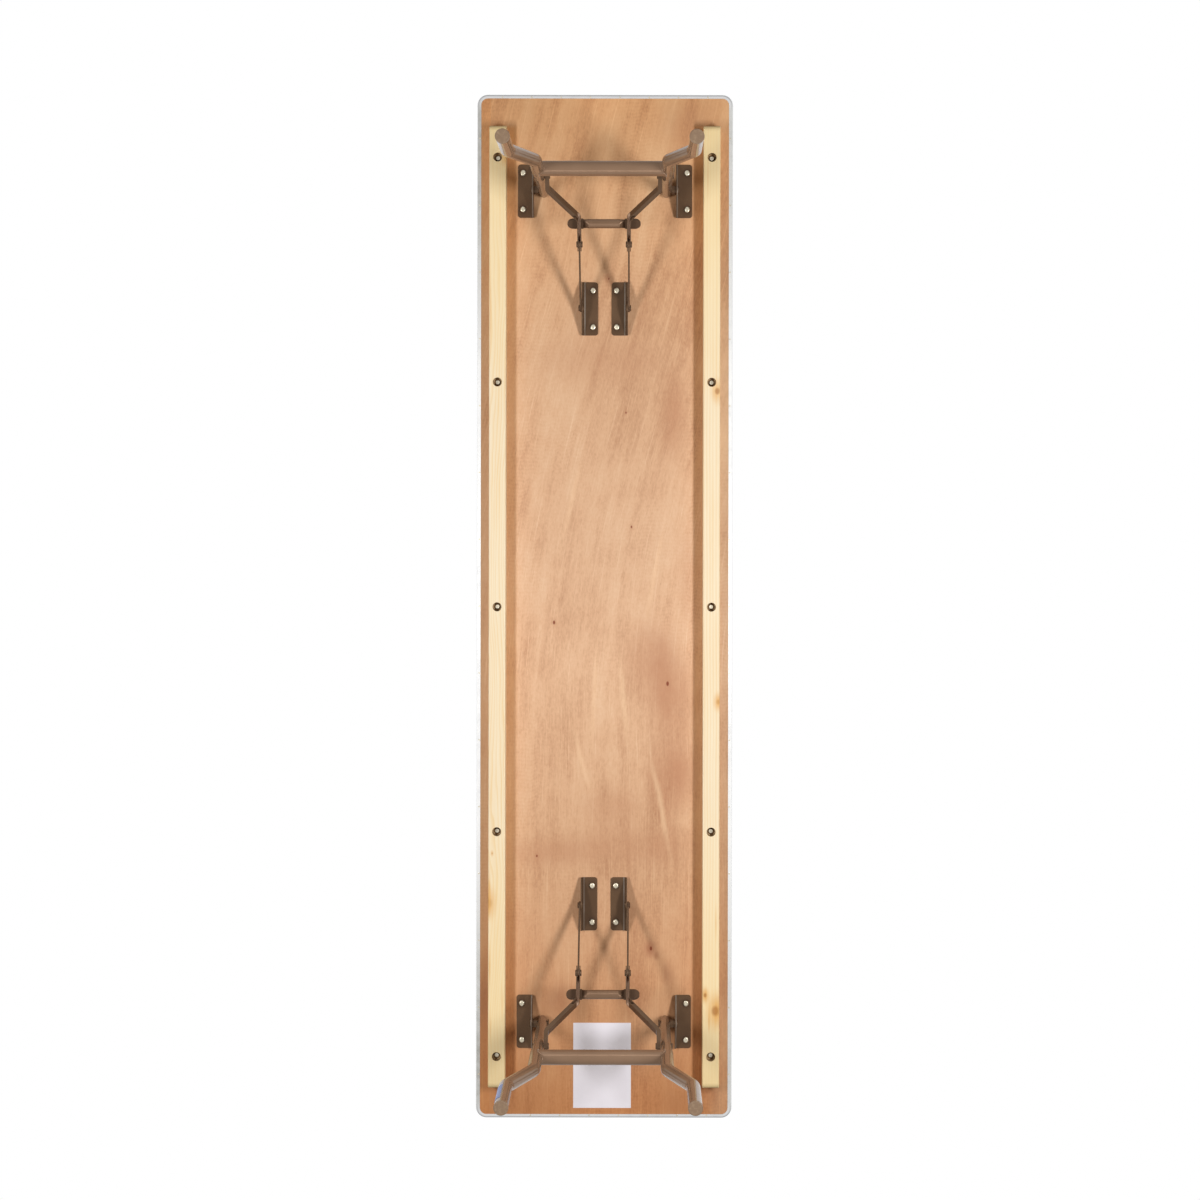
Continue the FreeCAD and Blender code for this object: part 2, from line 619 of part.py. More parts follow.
def lower_arm():
    """The bent arm, solid up to its second bend and a U channel from there, in the brace's own axes."""
    outside = arm_bar(ARM_WIDTH, (ARM_WEB_OUTER, ARM_OPEN_EDGE), 0)
    inside_width = ARM_WIDTH - 2 * ARM_WALL
    inside_z = (ARM_WEB_INNER, ARM_OPEN_EDGE + CUT_OVERRUN)
    channel_x = (ARM_CHANNEL_START, ARM_LENGTH + ARM_KNUCKLE_OVERHANG + CUT_OVERRUN)
    inside = arm_bar(inside_width, inside_z, CUT_OVERRUN).common(block(channel_x, (0, LEG_Y), inside_z))
    # The folded link lies straight in the arm, so it also passes out through the inner cheek at the bend.
    link_slot = block((ARM_FIRST_BEND, ARM_LENGTH), (LINK_Y - inside_width / 2, LINK_Y + inside_width / 2), inside_z)
    channel = outside.cut([inside, link_slot])
    tips = (-ARM_LEG_OVERHANG, ARM_LENGTH + ARM_KNUCKLE_OVERHANG)

    def at_open_corner(edge):
        centre = edge.CenterOfMass
        at_tip = min(abs(centre.x - tip) for tip in tips) < PIN_FIT
        return at_tip and abs(centre.z - ARM_OPEN_EDGE) < PIN_FIT

    corners = [edge for edge in edges_along(channel, ALONG_Y) if at_open_corner(edge)]
    channel = channel.makeFillet(ARM_END_ROUND, corners)
    reach = ARM_WIDTH / 2 + CUT_OVERRUN
    holes = []
    for x, y in ((0, ARM_LEG_Y), (ARM_LENGTH, LINK_Y)):
        holes.append(cross_rod(x, 0, (y - reach, y + reach), BRACE_PIN_DIAMETER / 2 + PIN_FIT))
    return channel.cut(holes)


def bridge_bar():
    """The round bar between the arms, flattened where it lies on their webs, in the brace's own axes."""
    x = BRIDGE_FROM_LEG
    z = ARM_WEB_OUTER - BRIDGE_FLAT_THICKNESS / 2
    half_round = BRIDGE_ROUND_LENGTH / 2
    half_flat = BRIDGE_FLAT_WIDTH / 2
    tip = BRIDGE_LENGTH / 2 - half_flat
    flat_z = (z - BRIDGE_FLAT_THICKNESS / 2, z + BRIDGE_FLAT_THICKNESS / 2)
    bar = cross_rod(x, z, (-half_round, half_round), BRIDGE_DIAMETER / 2)
    pieces = []
    for side in (-1, 1):
        neck_y = side * (half_round + BRIDGE_NECK)
        ring = Part.Wire(Part.makeCircle(BRIDGE_DIAMETER / 2, point(x, side * half_round, z), ALONG_Y))
        oval = Part.Ellipse(point(x + half_flat, neck_y, z), point(x, neck_y, flat_z[1]), point(x, neck_y, z))
        pieces.append(Part.makeLoft([ring, Part.Wire(oval.toShape())], True))
        y_span = (min(neck_y, side * tip), max(neck_y, side * tip))
        pieces.append(block((x - half_flat, x + half_flat), y_span, flat_z))
        pieces.append(rod(point(x, side * tip, flat_z[0]), point(x, side * tip, flat_z[1]), half_flat))
    return joined(bar, *pieces)


def pin_between(x, y_span, heads):
    """A brace rivet along Y in the brace's own axes, with a head at each end that is asked for."""
    low, high = y_span
    pin = cross_rod(x, 0, y_span, BRACE_PIN_DIAMETER / 2)
    sizes = (BRACE_PIN_HEAD_DIAMETER, BRACE_PIN_HEAD_HEIGHT)
    ends = {"inner": (low, -1), "outer": (high, 1)}
    return joined(pin, *[rivet_head(x, 0, *ends[head], *sizes) for head in heads])


def knuckle_rivet():
    y_span = (LINK_Y - ARM_WIDTH / 2, LINK_Y + ARM_WIDTH / 2)
    return pin_between(ARM_LENGTH, y_span, ("inner", "outer"))


def arm_rivet():
    """The arm's half of the leg pivot, flush with the cheek that lies against the leg."""
    return pin_between(0, (ARM_LEG_Y - ARM_WIDTH / 2, ARM_LEG_Y + ARM_WIDTH / 2), ("inner",))


def brace_rivet():
    """The pin that holds the upper link on its bracket."""
    y_span = (BRACE_FLANGE_Y - BRACKET_THICKNESS, LINK_Y + LINK_THICKNESS / 2 + SIDE_PLAY)
    return pin_between(BRACE_LENGTH, y_span, ("inner", "outer"))


def paper_label():
    start = -TABLE_LENGTH / 2 + LABEL_END_INSET
    y_span = (-LABEL_SIDE_SHIFT - LABEL_WIDTH / 2, -LABEL_SIDE_SHIFT + LABEL_WIDTH / 2)
    return block((start, start + LABEL_LENGTH), y_span, (UNDERSIDE - LABEL_THICKNESS, UNDERSIDE))


def foot_sticker():
    """A strip wrapped round the outer side of the left front foot."""
    inner = LEG_RADIUS + STICKER_FIT
    outer = inner + STICKER_THICKNESS
    low = STICKER_FLOOR_GAP
    high = low + STICKER_HEIGHT
    corners = [point(inner, 0, low), point(outer, 0, low), point(outer, 0, high), point(inner, 0, high)]
    section = closed_face(*[line(start, end) for start, end in zip(corners, corners[1:] + corners[:1])])
    section.rotate(ORIGIN, ALONG_Z, STICKER_FIRST_ANGLE)
    strip = section.revolve(ORIGIN, ALONG_Z, STICKER_LAST_ANGLE - STICKER_FIRST_ANGLE)
    strip.translate(point(-HINGE_X, -FOOT_Y, 0))
    return strip


def top_pieces():
    """The panel and all that is fixed to it."""
    moulding = edge_moulding()
    rail_shape = rail()
    rail_seat = UNDERSIDE - RAIL_THICKNESS + COUNTERBORE_DEPTH
    bracket_seat = UNDERSIDE - BRACKET_THICKNESS
    rail_places = rail_screw_places(-1) + rail_screw_places(1)
    pieces = {
        "plywood_panel": plywood_panel(),
        "edge_moulding_back": moulding,
        "edge_moulding_front": place(moulding, "right", "front"),
        "edge_nails": Part.makeCompound([nail(x, y) for x, y in nail_places()]),
        "back_rail": rail_shape,
        "front_rail": place(rail_shape, "right", "front"),
        "rail_screws": screw_group(rail_places, rail_seat, RAIL_SCREW_LENGTH),
        "leg_bracket_screws": screw_group(leg_bracket_screw_places(), bracket_seat, BRACKET_SCREW_LENGTH),
        "brace_bracket_screws": screw_group(brace_bracket_screw_places(), bracket_seat, BRACKET_SCREW_LENGTH),
        "paper_label": paper_label(),
        "foot_sticker": foot_sticker(),
    }
    return pieces


def end_pieces(end):
    """The brackets, leg frame and brace of one end."""
    one_of_each_side = {
        "leg_bracket": leg_bracket(),
        "brace_bracket": brace_bracket(),
        "leg_tube": leg_tube(),
        "foot_cap": foot_cap(),
        "upper_link": on_brace(upper_link()),
        "lower_arm": on_brace(lower_arm()),
    }
    grouped = {
        "leg_rivets": leg_rivet(),
        "leg_spacers": leg_spacer(),
        "brace_rivets": on_brace(brace_rivet()),
        "arm_studs": arm_stud(),
        "arm_rivets": on_brace(arm_rivet()),
        "knuckle_rivets": on_brace(knuckle_rivet()),
    }
    pieces = {
        f"{end}_cross_tube": place(cross_tube(), end, "back"),
        f"{end}_bridge_bar": place(on_brace(bridge_bar()), end, "back"),
    }
    for name, shape in one_of_each_side.items():
        for side in ("front", "back"):
            pieces[f"{end}_{side}_{name}"] = place(shape, end, side)
    for name, shape in grouped.items():
        pieces[f"{end}_{name}"] = both_sides(shape, end)
    return pieces


def main():
    os.makedirs("parts", exist_ok=True)
    pieces = top_pieces()
    for end in ("right", "left"):
        pieces.update(end_pieces(end))
    for name, shape in pieces.items():
        shape.exportStep(f"parts/{name}.step")


main()
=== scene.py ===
import json
import math

import bmesh
import bpy
from mathutils import Matrix, Vector

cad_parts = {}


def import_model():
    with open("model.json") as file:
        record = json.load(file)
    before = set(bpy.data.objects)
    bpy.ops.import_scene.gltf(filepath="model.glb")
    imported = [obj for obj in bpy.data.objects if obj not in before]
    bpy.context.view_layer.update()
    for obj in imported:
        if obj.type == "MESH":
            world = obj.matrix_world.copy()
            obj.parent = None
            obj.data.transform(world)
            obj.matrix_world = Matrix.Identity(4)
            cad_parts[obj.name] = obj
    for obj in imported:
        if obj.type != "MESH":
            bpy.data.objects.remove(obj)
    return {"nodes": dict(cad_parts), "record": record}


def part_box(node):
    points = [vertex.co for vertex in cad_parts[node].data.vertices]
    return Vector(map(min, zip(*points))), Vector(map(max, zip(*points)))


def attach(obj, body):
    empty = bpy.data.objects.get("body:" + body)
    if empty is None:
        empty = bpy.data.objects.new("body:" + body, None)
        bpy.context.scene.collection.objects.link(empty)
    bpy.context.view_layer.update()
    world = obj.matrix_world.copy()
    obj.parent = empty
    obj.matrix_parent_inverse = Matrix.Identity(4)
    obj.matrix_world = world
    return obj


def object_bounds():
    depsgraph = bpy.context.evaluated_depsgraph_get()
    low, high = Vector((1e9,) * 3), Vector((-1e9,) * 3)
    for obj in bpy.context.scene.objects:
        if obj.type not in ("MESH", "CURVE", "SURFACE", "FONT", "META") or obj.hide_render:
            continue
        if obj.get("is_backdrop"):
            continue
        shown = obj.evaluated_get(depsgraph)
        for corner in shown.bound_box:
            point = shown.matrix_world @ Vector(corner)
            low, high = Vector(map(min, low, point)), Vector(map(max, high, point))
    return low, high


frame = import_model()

cad_low, cad_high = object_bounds()
nodes = frame["nodes"]
ENDS = ("right", "left")
SIDES = ("front", "back")
TURN = 2 * math.pi
HALF_LENGTH = cad_high.x
HALF_WIDTH = cad_high.y
# The sockets that the Mix node uses for colours
MIX_FACTOR = 0
MIX_FIRST = 6
MIX_SECOND = 7
MIX_RESULT = 2


def linear(red, green, blue):
    """A colour given in screen values of 0 to 255, as the shaders take it."""
    steps = [value / 255 for value in (red, green, blue)]
    return tuple(v / 12.92 if v <= 0.04045 else ((v + 0.055) / 1.055) ** 2.4 for v in steps) + (1.0,)


def shades(dark, mid, pale):
    """The three colours of a surface, each given in screen values."""
    return linear(*dark), linear(*mid), linear(*pale)


class Graph:
    """One material and short calls that add nodes to it."""

    def __init__(self, name):
        self.material = bpy.data.materials.new(name)
        self.material.use_nodes = True
        self.tree = self.material.node_tree
        self.tree.nodes.clear()
        self.shader = self.tree.nodes.new("ShaderNodeBsdfPrincipled")
        self.output = self.tree.nodes.new("ShaderNodeOutputMaterial")
        self.tree.links.new(self.shader.outputs[0], self.output.inputs[0])
        self.place = self.tree.nodes.new("ShaderNodeTexCoord").outputs["Object"]

    def feed(self, socket, value):
        """Links a socket to another one, or sets it to a plain value."""
        if isinstance(value, bpy.types.NodeSocket):
            self.tree.links.new(value, socket)
        else:
            socket.default_value = value

    def node(self, kind, *values, **settings):
        """A new node whose first sockets take the values in order."""
        made = self.tree.nodes.new(kind)
        for key, value in settings.items():
            setattr(made, key, value)
        for socket, value in zip(made.inputs, values):
            self.feed(socket, value)
        return made

    def math(self, operation, *values):
        return self.node("ShaderNodeMath", *values, operation=operation).outputs[0]

    def vector(self, operation, *values):
        """The outputs of a vector sum: Vector, or Value for a length or a dot product."""
        return self.node("ShaderNodeVectorMath", *values, operation=operation).outputs

    def split(self, vector):
        return self.node("ShaderNodeSeparateXYZ", vector).outputs

    def join(self, x, y, z):
        return self.node("ShaderNodeCombineXYZ", x, y, z).outputs[0]

    def stretch(self, vector, factors):
        return self.vector("MULTIPLY", vector, factors)["Vector"]

    def length(self, vector):
        return self.vector("LENGTH", vector)["Value"]

    def noise(self, vector, factors, detail=3.0, roughness=0.5, distortion=0.0):
        """Smooth noise from 0 to 1 whose cells are 1 / factor metres long on each axis."""
        made = self.node("ShaderNodeTexNoise")
        self.feed(made.inputs["Vector"], self.stretch(vector, factors))
        settings = (("Scale", 1.0), ("Detail", detail), ("Roughness", roughness), ("Distortion", distortion))
        for key, value in settings:
            made.inputs[key].default_value = value
        return made.outputs[0]

    def even_noise(self, factor, **settings):
        """Noise over the surface with cells as long on one axis as on the others."""
        return self.noise(self.place, (factor, factor, factor), **settings)

    def total(self, first, *others):
        for other in others:
            first = self.math("ADD", first, other)
        return first

    def times(self, first, *others):
        for other in others:
            first = self.math("MULTIPLY", first, other)
        return first

    def swing(self, value, amount):
        """A value of 0 to 1 turned into one around zero, as wide as amount."""
        return self.times(self.math("SUBTRACT", value, 0.5), amount)

    def apart(self, first, second):
        """How far two values lie from each other."""
        return self.math("ABSOLUTE", self.math("SUBTRACT", first, second))

    def hypot(self, first, second):
        """The distance that two values at right angles make."""
        return self.math("SQRT", self.math("MULTIPLY_ADD", first, first, self.times(second, second)))

    def remap(self, value, low, high, to_low=0.0, to_high=1.0, kind="LINEAR"):
        made = self.node("ShaderNodeMapRange", value, low, high, to_low, to_high, interpolation_type=kind)
        return made.outputs[0]

    def ramp(self, factor, *stops):
        made = self.node("ShaderNodeValToRGB", factor)
        elements = made.color_ramp.elements
        while len(elements) < len(stops):
            elements.new(1.0)
        for element, (position, colour) in zip(elements, stops):
            element.position = position
            element.color = colour
        return made.outputs[0]

    def shade(self, tone, colours):
        """The dark, middle and pale colour at a tone of 0, a half and 1."""
        return self.ramp(tone, *zip((0.0, 0.5, 1.0), colours))

    def mix(self, factor, first, second, blend="MIX"):
        made = self.node("ShaderNodeMix", data_type="RGBA", blend_type=blend)
        for index, value in ((MIX_FACTOR, factor), (MIX_FIRST, first), (MIX_SECOND, second)):
            self.feed(made.inputs[index], value)
        return made.outputs[MIX_RESULT]

    def dim(self, factor, colour, share):
        """A colour of which only a share of each part is kept where the factor is one."""
        return self.mix(factor, colour, share, blend="MULTIPLY")

    def spot(self, centre, radii, place=None):
        """One at a point on the surface, fading to nothing at the given reach on each axis."""
        away = self.vector("SUBTRACT", place or self.place, centre)["Vector"]
        scaled = self.stretch(away, tuple(1 / radius for radius in radii))
        return self.remap(self.length(scaled), 1.0, 0.0, kind="SMOOTHSTEP")

    def finish(self, colour, roughness, height=None, bump=0.0, depth=0.001, **settings):
        """Wires up the shader: colour and roughness may be sockets, and the settings are plain values."""
        self.feed(self.shader.inputs["Base Color"], colour)
        self.feed(self.shader.inputs["Roughness"], roughness)
        if height is not None:
            made = self.node("ShaderNodeBump")
            made.inputs["Strength"].default_value = bump
            made.inputs["Distance"].default_value = depth
            self.feed(made.inputs["Height"], height)
            self.tree.links.new(made.outputs[0], self.shader.inputs["Normal"])
        for key, value in settings.items():
            socket = key.replace("_", " ").title().replace("Ior", "IOR")
            self.shader.inputs[socket].default_value = value
        return self.material


# Plywood
UNDERSIDE = 0.743
UNDERSIDE_SHADES = shades((160, 104, 66), (217, 174, 138), (236, 203, 170))
LACQUERED_ABOVE = 0.7605
LACQUER_SHADES = shades((184, 130, 78), (224, 182, 128), (236, 204, 156))
# How far the grain leans in the right half, and how gently the lean sets in
LEAN = 0.13
LEAN_BLEND = 0.03
GRAIN_WANDER = 0.035
FLAMES = 4.5
CHATTER_PER_METRE = 150
CHATTER_WANDER = 0.02
# How much of each colour the veneer keeps along the table: painted shade, darker and warmer towards the ends
END_SHADE_SHARES = (
    (-0.90, (0.76, 0.52, 0.32)),
    (-0.45, (0.895, 0.855, 0.80)),
    (-0.10, (1.0, 1.0, 1.0)),
    (0.10, (0.94, 0.93, 0.92)),
    (0.45, (0.895, 0.86, 0.81)),
    (0.90, (1.0, 0.86, 0.66)),
)
END_SHADE_REACH = 0.92
# Painted shade: the darker strips along the inner sides of the rails
STRIP_START = 0.152
STRIP_FULL = 0.164
RAIL_INNER = 0.175
RAIL_END = 0.854
STRIP_END_FADE = 0.006
RAIL_SHADE = (0.93, 0.80, 0.62, 1.0)
# Painted warm shade on the strip between the front rail and the edge
RAIL_OUTER = 0.204
FRONT_STRIP_SHADE = (1.0, 0.93, 0.84, 1.0)
# How far marks on the wood reach into it
MARK_DEPTH = 0.1
KNOT_DEPTH = 0.02
# Clouds, pale patches, and smudges that are partly painted shadows: place along and across, reach along and
# across, and strength
CLOUD_TINT = linear(178, 123, 88)
CLOUDS = (
    (-0.100, 0.088, 0.110, 0.080, 0.90),
    (-0.170, 0.118, 0.120, 0.060, 0.90),
    (-0.300, 0.122, 0.100, 0.065, 0.95),
    (-0.360, 0.014, 0.060, 0.085, 0.50),
    (-0.430, 0.050, 0.060, 0.200, 0.60),
    (-0.440, -0.100, 0.045, 0.130, 0.60),
    (0.340, 0.122, 0.110, 0.036, 0.75),
    (-0.611, 0.082, 0.026, 0.020, 1.0),
    (-0.660, 0.115, 0.034, 0.016, 0.7),
    (0.440, 0.000, 0.070, 0.160, 0.40),
    (0.050, 0.150, 0.140, 0.030, 0.35),
    (0.860, 0.150, 0.080, 0.090, 0.55),
)
PALE_TINT = linear(240, 204, 164)
PALE_PATCHES = (
    (0.400, 0.213, 0.330, 0.040, 0.65),
    (-0.830, 0.213, 0.200, 0.040, 0.50),
    (-0.760, 0.070, 0.100, 0.060, 0.25),
)
SMUDGE_AND_SHADOW_BROWN = linear(148, 86, 52)
SMUDGES_AND_SHADOWS = (
    (-0.611, 0.082, 0.018, 0.009, 0.7),
    (-0.624, 0.094, 0.012, 0.008, 0.6),
    (-0.655, 0.110, 0.030, 0.008, 0.4),
    # Painted shadow where the shadows of the links cross, partly brown spots in the wood.
    (0.586, 0.004, 0.016, 0.009, 0.6),
    (0.578, 0.012, 0.010, 0.006, 0.4),
    (-0.372, 0.098, 0.022, 0.007, 0.35),
    # Painted shade beside a leg bracket, on the strip outside the front rail and on the veneer inside it.
    (-0.700, -0.213, 0.110, 0.050, 0.5),
    (-0.704, -0.080, 0.060, 0.050, 0.5),
    (-0.885, 0.130, 0.060, 0.060, 0.3),
)
# Veins: place along and across, slope, half length, half width, strength and tint
VEINS = (
    (-0.350, 0.0996, -0.195, 0.130, 0.0080, 0.40, PALE_TINT),
    (-0.350, 0.1100, -0.195, 0.130, 0.0100, 0.25, CLOUD_TINT),
    (-0.165, 0.0340, -0.090, 0.110, 0.0075, 0.38, PALE_TINT),
    (-0.160, -0.0180, 0.050, 0.140, 0.0070, 0.30, PALE_TINT),
    (-0.272, -0.0410, -0.295, 0.090, 0.0075, 0.30, PALE_TINT),
    (0.180, -0.0600, 0.240, 0.120, 0.0070, 0.28, PALE_TINT),
    (0.060, 0.0900, 0.180, 0.120, 0.0070, 0.28, PALE_TINT),
)
VEIN_WANDER = 0.010
# Pin knots: place along and across, and size
KNOT_BROWN = linear(122, 54, 20)
PIN_KNOTS = (
    (-0.029, -0.090, 0.0042),
    (-0.138, 0.113, 0.0050),
    (0.142, 0.048, 0.0028),
    (0.346, 0.038, 0.0025),
    (0.585, 0.007, 0.0022),
    (-0.611, 0.084, 0.0045),
    (-0.446, -0.120, 0.0028),
)


def veneer_marks(g, colour, ragged):
    """The colour of the underside with its clouds, patches, smudges, painted shadows, veins and pin knots.
    """
    x, y, z = g.split(g.place)
    for tint, spots in ((CLOUD_TINT, CLOUDS), (PALE_TINT, PALE_PATCHES), (SMUDGE_AND_SHADOW_BROWN, SMUDGES_AND_SHADOWS)):
        for centre_x, centre_y, reach_x, reach_y, strength in spots:
            spread = g.spot((centre_x, centre_y, UNDERSIDE), (reach_x, reach_y, MARK_DEPTH))
            uneven = g.remap(ragged, 0.3, 0.7, 0.4 * strength, strength)
            colour = g.mix(g.times(spread, uneven), colour, tint)
    for centre_x, centre_y, slope, half, width, strength, tint in VEINS:
        drop = g.math("MULTIPLY_ADD", x, -slope, slope * centre_x)
        straight = g.join(x, g.total(y, drop, g.swing(ragged, VEIN_WANDER)), z)
        vein = g.spot((centre_x, centre_y, UNDERSIDE), (half, width, MARK_DEPTH), straight)
        colour = g.mix(g.times(vein, strength), colour, tint)
    for centre_x, centre_y, radius in PIN_KNOTS:
        centre = (centre_x, centre_y, UNDERSIDE)
        halo = g.spot(centre, (radius * 4.5, radius * 1.7, KNOT_DEPTH))
        colour = g.mix(g.times(halo, 0.35), colour, CLOUD_TINT)
        heart = g.spot(centre, (radius * 1.4, radius * 0.8, KNOT_DEPTH))
        colour = g.mix(g.remap(heart, 0.15, 0.6), colour, KNOT_BROWN)
    return colour


def plywood():
    g = Graph("plywood_veneer")
    x, y, z = g.split(g.place)
    from_middle = g.math("ABSOLUTE", x)
    side = g.math("ABSOLUTE", y)
    # The grain leans towards the back in the right half and runs straight in the left half.
    reach = g.math("SQRT", g.math("MULTIPLY_ADD", x, x, LEAN_BLEND))
    lean = g.times(g.math("ADD", x, reach), LEAN)
    wander = g.swing(g.noise(g.place, (2.2, 2.2, 1.0), detail=2.0), GRAIN_WANDER)
    across = g.total(g.math("SUBTRACT", y, lean), wander)
    grain = g.join(x, across, 0.0)
    figure = g.noise(grain, (1.0, 9.0, 1.0), distortion=0.5)
    flame = g.math("SINE", g.times(figure, TURN * FLAMES))
    streaks = g.noise(grain, (4.0, 60.0, 1.0), detail=4.0, roughness=0.6)
    fibres = g.noise(grain, (45.0, 800.0, 1.0), roughness=0.65)
    pores = g.remap(g.noise(grain, (150.0, 1900.0, 1.0), detail=1.0), 0.66, 0.78)
    flecks = g.noise(g.place, (140.0, 260.0, 1.0), detail=4.0, roughness=0.7)
    threads = g.remap(g.noise(grain, (5.0, 380.0, 1.0), detail=2.0), 0.60, 0.74)
    bands = g.noise(grain, (1.6, 24.0, 1.0), detail=2.0)
    near_end = g.remap(from_middle, 0.55, 0.85, 0.25, 0.9)
    clouds = g.noise(g.place, (2.4, 5.5, 1.0))
    ragged = g.noise(g.place, (14.0, 26.0, 1.0), detail=5.0, roughness=0.6)
    chatter_x = g.total(x, g.swing(streaks, CHATTER_WANDER))
    chatter = g.math("SINE", g.times(chatter_x, TURN * CHATTER_PER_METRE))
    chatter_place = g.remap(g.noise(g.place, (3.0, 7.0, 1.0), detail=2.0), 0.45, 0.7)
    tone = g.total(
        g.math("MULTIPLY_ADD", flame, 0.03, 0.5),
        g.swing(streaks, 0.44),
        g.times(threads, 0.26),
        g.swing(fibres, 0.46),
        g.swing(flecks, 0.44),
        g.swing(ragged, 0.46),
        g.swing(clouds, 0.60),
        g.times(g.swing(bands, 1.0), near_end),
        g.times(chatter, chatter_place, 0.04),
        g.times(pores, -0.14),
        g.times(y, -0.15),
    )
    below = g.shade(tone, UNDERSIDE_SHADES)
    # Painted shade: the veneer darker and warmer towards the ends.
    along = g.remap(x, -END_SHADE_REACH, END_SHADE_REACH)
    stops = [((place + END_SHADE_REACH) / (2 * END_SHADE_REACH), share + (1.0,)) for place, share in END_SHADE_SHARES]
    below = g.dim(1.0, below, g.ramp(along, *stops))
    # Painted shade of the rails on the veneer along their inner sides.
    by_rail = g.times(
        g.remap(side, STRIP_START, STRIP_FULL, kind="SMOOTHSTEP"),
        g.math("LESS_THAN", side, RAIL_INNER),
        g.remap(from_middle, RAIL_END + STRIP_END_FADE, RAIL_END),
    )
    below = g.dim(g.times(by_rail, g.remap(streaks, 0.3, 0.7, 0.75, 1.0)), below, RAIL_SHADE)
    # Painted warm shade on the strip outside the front rail.
    below = g.dim(g.math("LESS_THAN", y, -RAIL_OUTER), below, FRONT_STRIP_SHADE)
    below = veneer_marks(g, below, ragged)
    above = g.shade(tone, LACQUER_SHADES)
    upper = g.math("GREATER_THAN", z, LACQUERED_ABOVE)
    colour = g.mix(upper, below, above)
    rough_below = g.math("MULTIPLY_ADD", streaks, 0.18, 0.46)
    rough_above = g.math("MULTIPLY_ADD", clouds, 0.10, 0.20)
    roughness = g.remap(upper, 0.0, 1.0, rough_below, rough_above)
    relief = g.total(g.times(fibres, 0.5), g.times(pores, -0.5), g.times(chatter, 0.1))
    return g.finish(colour, roughness, relief, bump=0.25, depth=0.0003, specular_ior_level=0.35)


# Pine rails
PINE_PALE = linear(241, 227, 200)
PINE_MID = linear(236, 214, 177)
PINE_LATE = linear(232, 194, 132)
PINE_GOLD = linear(250, 222, 160)
PINE_KNOT = linear(150, 88, 36)
PINE_HALO = linear(222, 166, 88)
RAIL_FACE = 0.705
# The heart of the log that each rail is cut from, and its rings
LOG_SIDE = 0.240
LOG_HEIGHT = 0.665
RING_PITCH = 0.0042
PINE_WANDER = 0.030
# The counterbores of the rail screws, their walls darkened with painted shade
BORE_SHADE_BROWN = linear(166, 134, 94)
BORE_PITCH = 0.39875
BORE_SIDE = 0.190
BORE_RADIUS = 0.0081
BORE_FADE = 0.004
# Knots: place along and across, size, and how dark the heart is
RAIL_KNOTS = (
    (0.383, 0.200, 0.0100, 0.6),
    (-0.168, 0.202, 0.0075, 0.25),
    (-0.688, 0.180, 0.0065, 0.6),
    (-0.716, 0.198, 0.0150, 0.6),
    (-0.525, -0.203, 0.0130, 0.2),
    (0.797, -0.179, 0.0070, 0.0),
    (-0.437, -0.198, 0.0026, 0.35),
)
# Resin streaks: place along and across, reach along and across, and strength
RAIL_STREAKS = (
    (-0.505, -0.2030, 0.060, 0.0032, 0.9),
    (-0.700, -0.1800, 0.050, 0.0026, 0.5),
    (0.520, -0.2025, 0.110, 0.0034, 0.6),
    (-0.560, 0.1990, 0.045, 0.0030, 0.5),
    (0.760, 0.1830, 0.060, 0.0026, 0.4),
    (-0.735, 0.1870, 0.030, 0.0030, 0.7),
    (-0.640, -0.2020, 0.060, 0.0030, 0.7),
    (-0.745, -0.2010, 0.050, 0.0030, 0.5),
)


